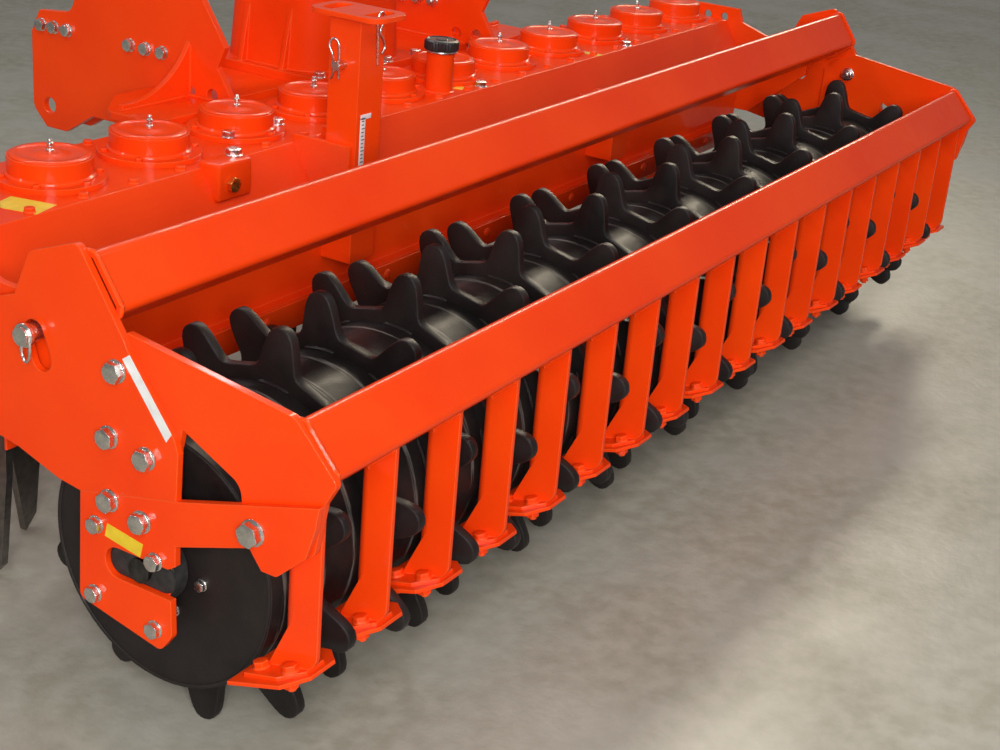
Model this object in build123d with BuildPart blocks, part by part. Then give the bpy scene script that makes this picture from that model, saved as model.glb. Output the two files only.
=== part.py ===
"""Mounted power harrow, 3 m wide, with a toothed packer roller.

Millimetres. +X is the machine's right, +Y the direction of travel, +Z up, and the
floor is Z = 0. Side outlines are drawn in (fore, up) from a point on the floor
straight below the roller's axis.
"""
import os
from math import cos, radians, sin, sqrt, tan

from build123d import *

os.makedirs("parts", exist_ok=True)

# Driving dimensions
working_width = 3000
rotor_count = 12
rotor_pitch = working_width / rotor_count
plate = 12
trough_half = working_width / 2 - 22
frame_outer = trough_half + plate + 10
frame_inner = frame_outer - plate
scraper_count = 18
scraper_margin = 17.5
scraper_pitch = 2 * (frame_inner - scraper_margin) / (scraper_count - 1)
ring_count = scraper_count - 1
teeth_per_ring = 10

roller_y = -446
tooth_radius = 318
tooth_off_plumb = 2.4                        # the lowest tips are this far from straight down
roller_z = tooth_radius * cos(radians(tooth_off_plumb))
drum_radius = 217
drum_wall = 8
rotor_y = roller_y + 565
trough_top = 727
trough_bottom = 470

arm_pivot = (450, 540)
depth_pin_radius = 268.6
depth_pin_angle = 155.8
arm_lift = 9

rotor_xs = [(k - (rotor_count - 1) / 2) * rotor_pitch for k in range(rotor_count)]
scraper_xs = [(k - (scraper_count - 1) / 2) * scraper_pitch for k in range(scraper_count)]
ring_xs = [(k - (ring_count - 1) / 2) * scraper_pitch for k in range(ring_count)]


def side(x):
    """The vertical fore-and-aft plane at x, with its origin below the roller."""
    return Plane(origin=(x, roller_y, 0), x_dir=(0, 1, 0), z_dir=(1, 0, 0))


def polar(centre, radius, angle):
    """The point at an angle in degrees on a circle."""
    return (centre[0] + radius * cos(radians(angle)), centre[1] + radius * sin(radians(angle)))


def corners(sketch, *places):
    """The vertices of a sketch that lie at these places."""
    return [v for v in sketch.vertices() if any(abs(v.X - a) + abs(v.Y - b) < 0.5 for a, b in places)]


def save(piece, node):
    """Label a finished piece and write its STEP file."""
    piece.part.label = node
    export_step(piece.part, f"parts/{node}.step")


# Trough: the closed gear casing, its two end plates and what is bolted to it
casing_wall = 10
trough_section = [(405, 470), (388, 520), (388, 640), (437, 727),
                  (700, 727), (745, 690), (745, 520), (715, 470)]
with BuildPart() as trough:
    with BuildSketch(side(-trough_half)):
        with BuildLine():
            Polyline(*trough_section, close=True)
        make_face()
    extrude(amount=2 * trough_half)
    with BuildSketch(side(-trough_half + casing_wall)):
        with BuildLine():
            Polyline(*trough_section, close=True)
        make_face()
        offset(amount=-casing_wall, kind=Kind.INTERSECTION, mode=Mode.REPLACE)
    extrude(amount=2 * (trough_half - casing_wall), mode=Mode.SUBTRACT)
save(trough, "trough")

depth_pin_diameter = 30
pivot_pin_diameter = 36
depth_pin = polar(arm_pivot, depth_pin_radius, depth_pin_angle)
end_plate_outline = [(780, 500), (780, 690), (575, 727), (545, 765), (400, 765), (385, 727), (300, 700),
                     (165, 695), (165, 610), (330, 470), (745, 470)]
end_plate_holes = [(445, 735), (500, 735)]
with BuildPart() as trough_ends:
    for hand in (-1, 1):
        with BuildSketch(side(hand * trough_half)):
            with BuildLine():
                Polyline(*end_plate_outline, close=True)
            make_face()
            with Locations(arm_pivot):
                Circle(pivot_pin_diameter / 2, mode=Mode.SUBTRACT)
            with Locations(*end_plate_holes):
                Circle(12, mode=Mode.SUBTRACT)
            with Locations(depth_pin):
                Circle(depth_pin_diameter / 2, mode=Mode.SUBTRACT)
        extrude(amount=hand * plate)
save(trough_ends, "trough_end_plates")

with BuildPart() as pivot_pins:
    for hand in (-1, 1):
        with BuildSketch(side(hand * trough_half)):
            with Locations(arm_pivot):
                Circle(pivot_pin_diameter / 2)
        extrude(amount=hand * (frame_outer + 2 * plate - trough_half))
        with BuildSketch(side(hand * (frame_outer + plate + 2))):
            with Locations(arm_pivot):
                Circle(32)
        extrude(amount=hand * plate)
save(pivot_pins, "arm_pivot_pins")

with BuildPart() as depth_pins:
    for hand in (-1, 1):
        with BuildSketch(side(hand * trough_half)):
            with Locations(depth_pin):
                Circle(depth_pin_diameter / 2)
        extrude(amount=hand * (frame_outer + plate + 28 - trough_half))
save(depth_pins, "depth_pins")

# Rotor covers: radius and height of each step, from the trough's top up
cover_steps = [(98, 10), (75, 36)]
with BuildPart() as covers:
    step_z = trough_top
    for step_radius, step_height in cover_steps:
        with Locations(*[(x, rotor_y, step_z) for x in rotor_xs]):
            Cylinder(step_radius, step_height, align=(Align.CENTER, Align.CENTER, Align.MIN))
        step_z += step_height
save(covers, "rotor_covers")

flange_height = 25
with BuildPart() as flanges:
    with BuildSketch(Plane(origin=(0, rotor_y, trough_bottom - flange_height))):
        with Locations(*[(x, 0) for x in rotor_xs]):
            RegularPolygon(100, 8)
    extrude(amount=flange_height)
save(flanges, "rotor_bearing_flanges")

neck_place = (-5, roller_y + 490, trough_top)
with BuildPart() as neck:
    with Locations(neck_place):
        Cylinder(32, 96, align=(Align.CENTER, Align.CENTER, Align.MIN))
save(neck, "filler_neck")
with BuildPart() as cap:
    with Locations((neck_place[0], neck_place[1], trough_top + 96)):
        Cylinder(40, 24, align=(Align.CENTER, Align.CENTER, Align.MIN))
save(cap, "filler_cap")

# Rotors: a shaft under its flange, a holder across it, and a knife tine at each end
rotor_gap = 0.3
rotor_shaft = 48
holder_top = 400
holder_bottom = 334
tine_inner = 84
tine_thickness = 16
tine_outline = [(-34, 396), (34, 396), (44, 360), (40, 200), (6, 0), (-22, 30), (-44, 220), (-46, 350)]
for number, x in enumerate(rotor_xs, start=1):
    turn = 90 if number % 2 == 0 else 0
    centre = Plane(origin=(x, rotor_y, 0)).rotated((0, 0, turn))
    with BuildPart() as rotor:
        with BuildSketch(centre.offset(holder_top)):
            RegularPolygon(rotor_shaft, 12)
        extrude(amount=trough_bottom - flange_height - rotor_gap - holder_top)
        with BuildSketch(centre.offset(holder_bottom)):
            Polygon((-tine_inner, -38), (-48, -52), (48, -52), (tine_inner, -38),
                    (tine_inner, 38), (48, 52), (-48, 52), (-tine_inner, 38), align=None)
        extrude(amount=holder_top - holder_bottom)
        for hand in (-1, 1):
            face = Plane(origin=centre.from_local_coords((hand * tine_inner, 0, 0)),
                         x_dir=centre.y_dir * hand, z_dir=centre.x_dir * hand)
            with BuildSketch(face):
                with BuildLine():
                    Polyline(*tine_outline, close=True)
                make_face()
            extrude(amount=tine_thickness)
    save(rotor, f"rotor_{number:02d}")

# Headstock: box beam, feet, side plates, link plates, cross tube and top link bracket
headstock_x = 507
headstock_plate = 15
base_section = (745, 1060, 640, trough_top)
with BuildPart() as base:
    with BuildSketch(side(-headstock_x)):
        with Locations(((base_section[0] + base_section[1]) / 2, (base_section[2] + base_section[3]) / 2)):
            Rectangle(base_section[1] - base_section[0], base_section[3] - base_section[2])
            Rectangle(base_section[1] - base_section[0] - 20, base_section[3] - base_section[2] - 20,
                      mode=Mode.SUBTRACT)
    extrude(amount=2 * headstock_x)
save(base, "headstock_base")

foot_plan = [(522, 672), (745, 672), (745, 800), (640, 880), (522, 880)]
foot_gusset = [(522, 856), (522, trough_top + 15), (722, trough_top + 15), (722, trough_top + 27)]
foot_arch = [foot_gusset[-1], (600, 778), foot_gusset[0]]
with BuildPart() as feet:
    for hand in (-1, 1):
        with BuildSketch(Plane(origin=(0, roller_y, trough_top))) as sole:
            with BuildLine():
                Polyline(*[(hand * x, y) for x, y in foot_plan], close=True)
            make_face()
            fillet(corners(sole, (hand * 745, 672), (hand * 745, 800), (hand * 640, 880)), 30)
        extrude(amount=15)
        with BuildSketch(Plane(origin=(0, roller_y + 790, 0), x_dir=(1, 0, 0), z_dir=(0, -1, 0))):
            with BuildLine():
                Polyline(*[(hand * x, z) for x, z in foot_gusset])
                ThreePointArc(*[(hand * x, z) for x, z in foot_arch])
            make_face()
        extrude(amount=12)
save(feet, "headstock_feet")

side_plate_outline = [(648, trough_top), (705, 814), (685, 858), (700, 880), (840, 1080), (885, 1115),
                      (990, 1115), (1040, 1060), (1120, 860), (1215, 850), (1240, 800), (1240, 630),
                      (1200, 590), (1140, 590), (1060, 640), (745, 640), (745, trough_top)]
side_plate_holes = [(717, 752), (777, 748)]
lower_link = (1190, 640)
lower_link_hole = 36.9
cross_tube = (935, 1050)
cross_tube_radius = 45
with BuildPart() as headstock_sides:
    for hand in (-1, 1):
        with BuildSketch(side(hand * headstock_x)) as sheet:
            with BuildLine():
                Polyline(*side_plate_outline, close=True)
            make_face()
            fillet(corners(sheet, (885, 1115), (990, 1115), (1240, 630), (1120, 860)), 30)
            with Locations(*side_plate_holes):
                Circle(15, mode=Mode.SUBTRACT)
            with Locations(lower_link):
                Circle(lower_link_hole / 2, mode=Mode.SUBTRACT)
        extrude(amount=hand * headstock_plate)
save(headstock_sides, "headstock_side_plates")

link_plate_outline = [(1060, 727), (1060, 640), (1140, 590), (1200, 590), (1240, 630), (1240, 690), (1150, 727)]
link_plate_x = 432
with BuildPart() as link_plates:
    for hand in (-1, 1):
        with BuildSketch(side(hand * link_plate_x)):
            with BuildLine():
                Polyline(*link_plate_outline, close=True)
            make_face()
            with Locations(lower_link):
                Circle(lower_link_hole / 2, mode=Mode.SUBTRACT)
        extrude(amount=hand * headstock_plate)
save(link_plates, "lower_link_plates")

with BuildPart() as tower_tube:
    with BuildSketch(side(-headstock_x)):
        with Locations(cross_tube):
            Circle(cross_tube_radius)
            Circle(cross_tube_radius - 8, mode=Mode.SUBTRACT)
    extrude(amount=2 * headstock_x)
save(tower_tube, "headstock_cross_tube")

top_link = (985, 1230)
top_link_hole = 32
bracket_outline = [(870, 1010), (985, 990), (1020, 1050), (1030, 1240), (1000, 1275), (955, 1265)]
with BuildPart() as top_bracket:
    for hand in (-1, 1):
        with BuildSketch(side(hand * 30)):
            with BuildLine():
                Polyline(*bracket_outline, close=True)
            make_face()
            with Locations(cross_tube):
                Circle(cross_tube_radius, mode=Mode.SUBTRACT)
            with Locations(top_link):
                Circle(top_link_hole / 2, mode=Mode.SUBTRACT)
        extrude(amount=hand * headstock_plate)
save(top_bracket, "top_link_bracket")

# Gearbox and the input shaft
spline_radius = 34.9 / 2
journal_radius = 25
gearbox_y = roller_y + 850
input_z = 880
input_face = 1045
neck_face = 960
rib_places = [(-186, -60), (-186, 60), (186, -60), (186, 60)]
with BuildPart() as gearbox:
    with BuildSketch(Plane(origin=(0, gearbox_y, trough_top))):
        Rectangle(420, 350)
    extrude(amount=22)
    with BuildSketch(Plane(origin=(0, gearbox_y, trough_top + 22))):
        RectangleRounded(372, 304, 90)
    extrude(amount=196, taper=4)
    with BuildSketch(Plane(origin=(0, gearbox_y, trough_top + 218))):
        RectangleRounded(330, 262, 70)
    extrude(amount=22)
    with BuildSketch(Plane(origin=(0, gearbox_y, trough_top + 240))):
        Circle(105)
    extrude(amount=26)
    for out, fore in rib_places:
        with BuildSketch(Plane(origin=(0, gearbox_y + fore - 6, trough_top + 22), x_dir=(1, 0, 0),
                               z_dir=(0, -1, 0)).offset(-12)):
            with BuildLine():
                Polyline((out * 0.8, 0), (out * 1.1, 0), (out * 0.9, 180), (out * 0.8, 180), close=True)
            make_face()
        extrude(amount=12)
    with BuildSketch(Plane(origin=(0, roller_y + neck_face, input_z), x_dir=(1, 0, 0), z_dir=(0, 1, 0))):
        Circle(92)
    extrude(amount=34)
    with BuildSketch(Plane(origin=(0, roller_y + neck_face + 34, input_z), x_dir=(1, 0, 0), z_dir=(0, 1, 0))):
        Circle(70)
    extrude(amount=input_face - neck_face - 34)
    with BuildSketch(Plane(origin=(0, roller_y + input_face, input_z), x_dir=(1, 0, 0), z_dir=(0, 1, 0))):
        Circle(journal_radius + 0.3)
    extrude(amount=-60, mode=Mode.SUBTRACT)
save(gearbox, "gearbox")

with BuildPart() as pto_shaft:
    with BuildSketch(Plane(origin=(0, roller_y + input_face - 54, input_z), x_dir=(1, 0, 0), z_dir=(0, 1, 0))):
        Circle(journal_radius)
    extrude(amount=60)
    with BuildSketch(Plane(origin=(0, roller_y + input_face + 6, input_z), x_dir=(1, 0, 0), z_dir=(0, 1, 0))):
        Circle(spline_radius)
    extrude(amount=90)
save(pto_shaft, "pto_input_shaft")

# Levelling bar on two square stems, the left one tall with the setting pin
bar_half = trough_half - 18
bar_top = 560
bar_bottom = 440
stem_x = 555
stem_size = 80
stem_bottom = 505
stem_top = 990
handle_reach = 170
stem_y = (293, 365)
setting_pin_place = (330, 900)
setting_pin_radius = 9
bar_section = [(365, bar_top), (373, bar_top), (373, bar_bottom), (340, bar_bottom),
               (340, bar_bottom + 8), (365, bar_bottom + 8)]
with BuildPart() as levelling_bar:
    with BuildSketch(side(-bar_half)):
        with BuildLine():
            Polyline(*bar_section, close=True)
        make_face()
    extrude(amount=2 * bar_half)
save(levelling_bar, "levelling_bar")

with BuildPart() as stems:
    for x, top in ((-stem_x, stem_top), (stem_x, 640)):
        with BuildSketch(Plane(origin=(x, roller_y + sum(stem_y) / 2, stem_bottom))):
            Rectangle(stem_size, stem_y[1] - stem_y[0])
            Rectangle(stem_size - 12, stem_y[1] - stem_y[0] - 12, mode=Mode.SUBTRACT)
        extrude(amount=top - stem_bottom)
    with BuildSketch(side(-stem_x - stem_size / 2)):
        with Locations(setting_pin_place):
            Circle(setting_pin_radius)
    extrude(amount=stem_size, mode=Mode.SUBTRACT)
    with BuildSketch(Plane(origin=(-stem_x, roller_y + sum(stem_y) / 2, stem_top))):
        RectangleRounded(stem_size + 30, handle_reach, 30)
        RectangleRounded(stem_size - 6, handle_reach - 36, 20, mode=Mode.SUBTRACT)
        Rectangle(stem_size, stem_y[1] - stem_y[0])
    extrude(amount=10)
save(stems, "levelling_stems")

guide_left = [(300, 600), (388, 600), (388, 640), (437, 727), (437, 745), (300, 745)]
guide_right = [(300, 600), (388, 600), (388, 640), (399, 660), (300, 660)]
with BuildPart() as guides:
    for x, outline in ((-stem_x, guide_left), (stem_x, guide_right)):
        for start in (x - stem_size / 2 - 10.3, x + stem_size / 2 + 0.3):
            with BuildSketch(side(start)):
                with BuildLine():
                    Polyline(*outline, close=True)
                make_face()
            extrude(amount=10)
save(guides, "stem_guides")

with BuildPart() as setting_pin:
    with BuildSketch(side(-stem_x - stem_size / 2 - 26)):
        with Locations(setting_pin_place):
            Circle(setting_pin_radius)
    extrude(amount=stem_size + 52)
save(setting_pin, "stem_setting_pin")

# Roller frame: end plates, arms, bearing hangers, two square tubes on edge
front_tube = (107, 734, 54.5)
rear_beam = (-275, 580, 48)
tube_size = 100
tube_wall = 8
for node, (fore, up, lean), half in (("front_tube", front_tube, frame_outer),
                                     ("rear_beam", rear_beam, frame_inner)):
    with BuildPart() as tube:
        with BuildSketch(side(-half)):
            with Locations(Location((fore, up, 0), (0, 0, lean))):
                RectangleRounded(tube_size, tube_size, 1.5 * tube_wall)
                RectangleRounded(tube_size - 2 * tube_wall, tube_size - 2 * tube_wall, tube_wall / 2,
                                 mode=Mode.SUBTRACT)
        extrude(amount=2 * half)
    save(tube, node)

arm_outline = [(113, 812), (30, 693), (19, 673), (-71, 559), (-78, 538), (-75, 461), (116, 416),
               (162, 422), (246, 449), (420, 478), (480, 482), (508, 540), (480, 598), (420, 620),
               (300, 680), (244, 700), (210, 776)]
depth_slot = CenterArc(arm_pivot, depth_pin_radius, depth_pin_angle, arm_lift)
with BuildPart() as arms:
    for hand in (-1, 1):
        with BuildSketch(side(hand * frame_outer)) as sheet:
            with BuildLine():
                Polyline(*arm_outline, close=True)
            make_face()
            fillet(corners(sheet, (113, 812), (210, 776), (508, 540)), 16)
            with Locations(arm_pivot):
                Circle(pivot_pin_diameter / 2 + 0.3, mode=Mode.SUBTRACT)
            SlotArc(depth_slot, depth_pin_diameter + 10, mode=Mode.SUBTRACT)
        extrude(amount=hand * plate)
save(arms, "roller_arms")

hanger_outline = [(116, 416), (121, 230), (-46, 197), (-68, 228), (-66, 291), (66, 291),
                  (66, 343), (-60, 343), (-74, 352), (-74, 386), (-212, 434), (-235, 405),
                  (-262, 405), (-312, 452), (-326, 500), (-332, 538), (-75, 461)]
with BuildPart() as hangers:
    for hand in (-1, 1):
        with BuildSketch(side(hand * frame_outer)) as sheet:
            with BuildLine():
                Polyline(*hanger_outline, close=True)
            make_face()
            fillet(corners(sheet, (66, 291), (66, 343)), 25.5)
            fillet(corners(sheet, (121, 230), (-46, 197), (-68, 228), (-262, 405)), 14)
        extrude(amount=hand * plate)
save(hangers, "bearing_hangers")

end_outline = [(112, 640), (92, 660), (30, 693), (-276, 653), (-352, 574), (-332, 538), (-318, 455),
               (-262, 412), (-232, 412), (-190, 470), (-184, 520), (-76, 573), (-60, 500),
               (60, 470), (112, 520)]
with BuildPart() as frame_ends:
    for hand in (-1, 1):
        with BuildSketch(side(hand * frame_inner)) as sheet:
            with BuildLine():
                Polyline(*end_outline, close=True)
            make_face()
            fillet(corners(sheet, (-276, 653), (-184, 520)), 30)
            fillet(corners(sheet, (-352, 574), (-318, 455)), 12)
        extrude(amount=hand * plate)
save(frame_ends, "roller_end_plates")

shaft_stub = 20
bearing_width = 30
with BuildPart() as bearings:
    for hand in (-1, 1):
        with BuildSketch(side(hand * (frame_outer - bearing_width))):
            with Locations((0, roller_z)):
                Circle(60)
                Circle(shaft_stub + 0.05, mode=Mode.SUBTRACT)
        extrude(amount=hand * bearing_width)
save(bearings, "roller_bearings")

# Scrapers: a folded arm on its foot, and a broad foot blade, one set before each gap in the rings
arm_sheet = 8
arm_left = -15.5
arm_width = 31
arm_fore = (-320, -256)
arm_bend = 18
blade_sheet = 6
foot_sheet = 6
blade_front = (-201, 222)
blade_slope = 15
blade_outline = [(-71, 0), (71, 0), (62, 92), (34, 120), (-24, 120), (-62, 92)]
foot_outline = [(-50, 14), (30, 14), (36, 80), (20, 110), (-22, 110), (-50, 76)]
beam_low, beam_back, beam_fore = [polar(rear_beam[:2], tube_size / sqrt(2), rear_beam[2] + turn)
                                  for turn in (225, 135, -45)]


def between(start, end, fore):
    """The point at this fore place on the line from start to end."""
    return (fore, start[1] + (end[1] - start[1]) * (fore - start[0]) / (end[0] - start[0]))


def on_blade(fore, lift):
    """The point at this fore place and this far above the blade's top."""
    return (fore, blade_front[1] + (blade_front[0] - fore) * tan(radians(blade_slope))
            + lift / cos(radians(blade_slope)))


def blade_plane(x, lift):
    """A plane over the blade at x, with local y going back from its front edge and z down."""
    fore, up = on_blade(blade_front[0], lift)
    return Plane(origin=(x, roller_y + fore, up), x_dir=(1, 0, 0),
                 z_dir=(0, -sin(radians(blade_slope)), -cos(radians(blade_slope))))


arm_side = [between(beam_low, beam_back, arm_fore[0]), beam_low, between(beam_low, beam_fore, arm_fore[1]),
            on_blade(arm_fore[1], foot_sheet), on_blade(arm_fore[0], foot_sheet)]
arm_gusset = [(arm_fore[1] - arm_bend, 330), on_blade(arm_fore[1] + 24, foot_sheet),
              on_blade(arm_fore[1] - arm_bend, foot_sheet)]
with BuildPart() as scraper_arm:
    with BuildSketch(Plane(origin=(0, roller_y, blade_front[1]))) as fold:
        with BuildLine():
            Polyline((arm_left, arm_fore[0]), (arm_left, arm_fore[1]), (arm_left + arm_width, arm_fore[1]),
                     (arm_left + arm_width, arm_fore[1] - arm_sheet),
                     (arm_left + arm_sheet, arm_fore[1] - arm_sheet),
                     (arm_left + arm_sheet, arm_fore[0]), close=True)
        make_face()
        fillet(corners(fold, (arm_left, arm_fore[1])), arm_bend)
        fillet(corners(fold, (arm_left + arm_sheet, arm_fore[1] - arm_sheet)), arm_bend - arm_sheet)
    extrude(amount=tube_size + rear_beam[1] - blade_front[1])
    with BuildSketch(side(arm_left)) as profile:
        with BuildLine():
            Polyline(*arm_side, close=True)
        make_face()
        fillet(corners(profile, arm_side[-1]), 26)
    extrude(amount=arm_width, mode=Mode.INTERSECT)
    with BuildSketch(side(arm_left)):
        with BuildLine():
            Polyline(*arm_gusset, close=True)
        make_face()
    extrude(amount=arm_sheet)
    with BuildSketch(blade_plane(0, foot_sheet)):
        with BuildLine():
            Polyline(*foot_outline, close=True)
        make_face()
    extrude(amount=foot_sheet)
with BuildPart() as scraper_arms:
    with Locations(*[(x, 0, 0) for x in scraper_xs]):
        add(scraper_arm.part)
save(scraper_arms, "scraper_arms")

with BuildPart() as blades:
    for x in scraper_xs:
        with BuildSketch(blade_plane(x, 0)):
            with BuildLine():
                Polyline(*blade_outline, close=True)
            make_face()
        extrude(amount=blade_sheet)
save(blades, "scraper_blades")

# Packer roller: closed drum, stub shafts, and rings of concave-flanked teeth
drum_half = frame_inner - 26
with BuildPart() as drum:
    with BuildSketch(side(-drum_half)):
        with Locations((0, roller_z)):
            Circle(drum_radius)
    extrude(amount=2 * drum_half)
    with BuildSketch(side(-drum_half + drum_wall)):
        with Locations((0, roller_z)):
            Circle(drum_radius - drum_wall)
    extrude(amount=2 * (drum_half - drum_wall), mode=Mode.SUBTRACT)
save(drum, "roller_drum")

with BuildPart() as stubs:
    for hand in (-1, 1):
        with BuildSketch(side(hand * drum_half)):
            with Locations((0, roller_z)):
                Circle(shaft_stub)
        extrude(amount=hand * (frame_outer + 11 - drum_half))
save(stubs, "roller_stub_shafts")

ring_thickness = 20
bore_sides = 40
ring_phase = (48, 59)
tooth_pitch = 360 / teeth_per_ring
tooth_flank = [(-9, 246), (-5, 296), (-2.6, tooth_radius), (2.6, tooth_radius), (5, 296), (9, 246)]
with BuildPart() as rings:
    for k, x in enumerate(ring_xs):
        outline = []
        for tooth in range(teeth_per_ring):
            middle = ring_phase[k % 2] + tooth * tooth_pitch
            outline += [polar((0, roller_z), radius, middle + angle) for angle, radius in tooth_flank]
        with BuildSketch(side(x - ring_thickness / 2)):
            with BuildLine():
                Polyline(*outline, close=True)
            make_face()
            with Locations((0, roller_z)):
                RegularPolygon(drum_radius, bore_sides, major_radius=False, mode=Mode.SUBTRACT)
        extrude(amount=ring_thickness)
save(rings, "roller_tooth_rings")

# Side deflectors hung on a rod outside each trough end
hinge_x = trough_half + 44
hinge_z = 640
deflector_outline = [(590, 628), (730, 628), (735, 612), (800, 600), (920, 540), (960, 430), (960, 190),
                     (900, 110), (600, 90), (540, 150), (540, 590), (585, 612)]
with BuildPart() as hinge_rods:
    for hand in (-1, 1):
        with BuildSketch(Plane(origin=(hand * hinge_x, roller_y + 560, hinge_z), x_dir=(1, 0, 0), z_dir=(0, 1, 0))):
            Circle(10)
        extrude(amount=200)
        for fore in (560, 740):
            with BuildSketch(Plane(origin=(hand * (trough_half + plate), roller_y + fore, hinge_z),
                                   x_dir=(1, 0, 0), z_dir=(0, 1, 0))):
                with Locations((hand * 21, 0)):
                    Rectangle(42, 40)
            extrude(amount=20)
save(hinge_rods, "deflector_hinges")
for hand, node in ((-1, "side_deflector_left"), (1, "side_deflector_right")):
    with BuildPart() as deflector:
        with BuildSketch(side(hand * (hinge_x - 3))):
            with BuildLine():
                Polyline(*deflector_outline, close=True)
            make_face()
        extrude(amount=hand * 6)
        with BuildSketch(Plane(origin=(hand * hinge_x, roller_y + 600, hinge_z), x_dir=(1, 0, 0), z_dir=(0, 1, 0))):
            Circle(18)
            Circle(10.4, mode=Mode.SUBTRACT)
        extrude(amount=120)
    save(deflector, node)
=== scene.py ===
"""Looks for the three metre power harrow."""
import random

from math import cos, pi, radians, sin, sqrt, tan

import bmesh
import bpy
from mathutils import Matrix, Vector


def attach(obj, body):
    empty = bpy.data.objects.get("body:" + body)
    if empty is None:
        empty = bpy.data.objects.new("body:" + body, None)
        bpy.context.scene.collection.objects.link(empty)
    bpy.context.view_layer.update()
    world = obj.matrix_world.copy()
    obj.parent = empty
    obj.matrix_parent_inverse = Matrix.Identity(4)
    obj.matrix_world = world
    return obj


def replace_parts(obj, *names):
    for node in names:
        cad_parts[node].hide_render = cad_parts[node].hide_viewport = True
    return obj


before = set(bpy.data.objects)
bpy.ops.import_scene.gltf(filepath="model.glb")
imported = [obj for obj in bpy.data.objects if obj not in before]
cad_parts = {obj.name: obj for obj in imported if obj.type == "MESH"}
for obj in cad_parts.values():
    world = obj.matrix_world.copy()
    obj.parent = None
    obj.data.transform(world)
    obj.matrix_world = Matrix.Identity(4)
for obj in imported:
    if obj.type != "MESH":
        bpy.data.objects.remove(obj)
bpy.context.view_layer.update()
scene = bpy.context.scene
random.seed(11)

# Camera: solved from the end plates, the scrapers and the rotor covers. It stands
# behind the left end, above the roller.
image_width = 1000
focal_pixels = 1633.5
camera_yaw, camera_pitch, camera_roll = radians(60.377), radians(22.736), radians(5.131)
camera_place = Vector((-3.1139, -1.9518, 1.5859))
look = Vector((sin(camera_yaw) * cos(camera_pitch), cos(camera_yaw) * cos(camera_pitch), -sin(camera_pitch)))
level_right = Vector((cos(camera_yaw), -sin(camera_yaw), 0))
level_up = level_right.cross(look)
right = cos(camera_roll) * level_right + sin(camera_roll) * level_up
up = cos(camera_roll) * level_up - sin(camera_roll) * level_right
camera_data = bpy.data.cameras.new("camera")
camera_data.sensor_width = 36
camera_data.lens = focal_pixels * camera_data.sensor_width / image_width
camera_data.clip_end = 60
camera = bpy.data.objects.new("camera", camera_data)
scene.collection.objects.link(camera)
camera.matrix_world = Matrix.Translation(camera_place) @ Matrix((right, up, -look)).transposed().to_4x4()
scene.camera = camera


# Studio: a plain concrete floor, an even pale world, a soft sun and a wide lamp from
# behind the left end, two strip lamps above, and a long warm lamp over the far end that
# only makes the edges shine.
def new_material(name):
    """A node material and the parts of it that every finish sets."""
    material = bpy.data.materials.new(name)
    material.use_nodes = True
    tree = material.node_tree
    return material, tree, tree.nodes["Principled BSDF"]


def noise(tree, scale, detail=2.0):
    """A noise texture over the object's own metres."""
    place = tree.nodes.new("ShaderNodeTexCoord")
    texture = tree.nodes.new("ShaderNodeTexNoise")
    texture.inputs["Scale"].default_value = scale
    texture.inputs["Detail"].default_value = detail
    tree.links.new(place.outputs["Object"], texture.inputs["Vector"])
    return texture.outputs["Fac"]


def blend(tree, factor, low, high, near=0.35, far=0.65):
    """A colour that goes from low to high as a factor goes from near to far."""
    ramp = tree.nodes.new("ShaderNodeValToRGB")
    ramp.color_ramp.elements[0].position = near
    ramp.color_ramp.elements[1].position = far
    ramp.color_ramp.elements[0].color = (*low, 1)
    ramp.color_ramp.elements[1].color = (*high, 1)
    tree.links.new(factor, ramp.inputs["Fac"])
    return ramp.outputs["Color"]


def mix(tree, factor, first, second):
    """A mix of two colours, each a socket or a tuple."""
    node = tree.nodes.new("ShaderNodeMix")
    node.data_type = "RGBA"
    tree.links.new(factor, node.inputs[0])
    for socket, value in ((node.inputs[6], first), (node.inputs[7], second)):
        if isinstance(value, tuple):
            socket.default_value = (*value, 1)
        else:
            tree.links.new(value, socket)
    return node.outputs[2]


def ranged(tree, factor, near, far, low, high):
    """A number that goes from low to high as a factor goes from near to far."""
    node = tree.nodes.new("ShaderNodeMapRange")
    for name, value in (("From Min", near), ("From Max", far), ("To Min", low), ("To Max", high)):
        node.inputs[name].default_value = value
    tree.links.new(factor, node.inputs["Value"])
    return node.outputs["Result"]


def bump(tree, height, distance, strength=1.0, normal=None):
    """A bump over a height, in metres."""
    node = tree.nodes.new("ShaderNodeBump")
    node.inputs["Distance"].default_value = distance
    node.inputs["Strength"].default_value = strength
    tree.links.new(height, node.inputs["Height"])
    if normal:
        tree.links.new(normal, node.inputs["Normal"])
    return node.outputs["Normal"]


scene.view_settings.view_transform = "Standard"
world = bpy.data.worlds.new("studio")
world.use_nodes = True
sky = world.node_tree.nodes["Background"]
sky.inputs["Color"].default_value = (1, 1, 1, 1)
path = world.node_tree.nodes.new("ShaderNodeLightPath")
strength = world.node_tree.nodes.new("ShaderNodeMapRange")
light_on_machine, white_behind = 0.22, 1.0
strength.inputs["To Min"].default_value = light_on_machine
strength.inputs["To Max"].default_value = white_behind
world.node_tree.links.new(path.outputs["Is Camera Ray"], strength.inputs["Value"])
world.node_tree.links.new(strength.outputs["Result"], sky.inputs["Strength"])
scene.world = world

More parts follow.
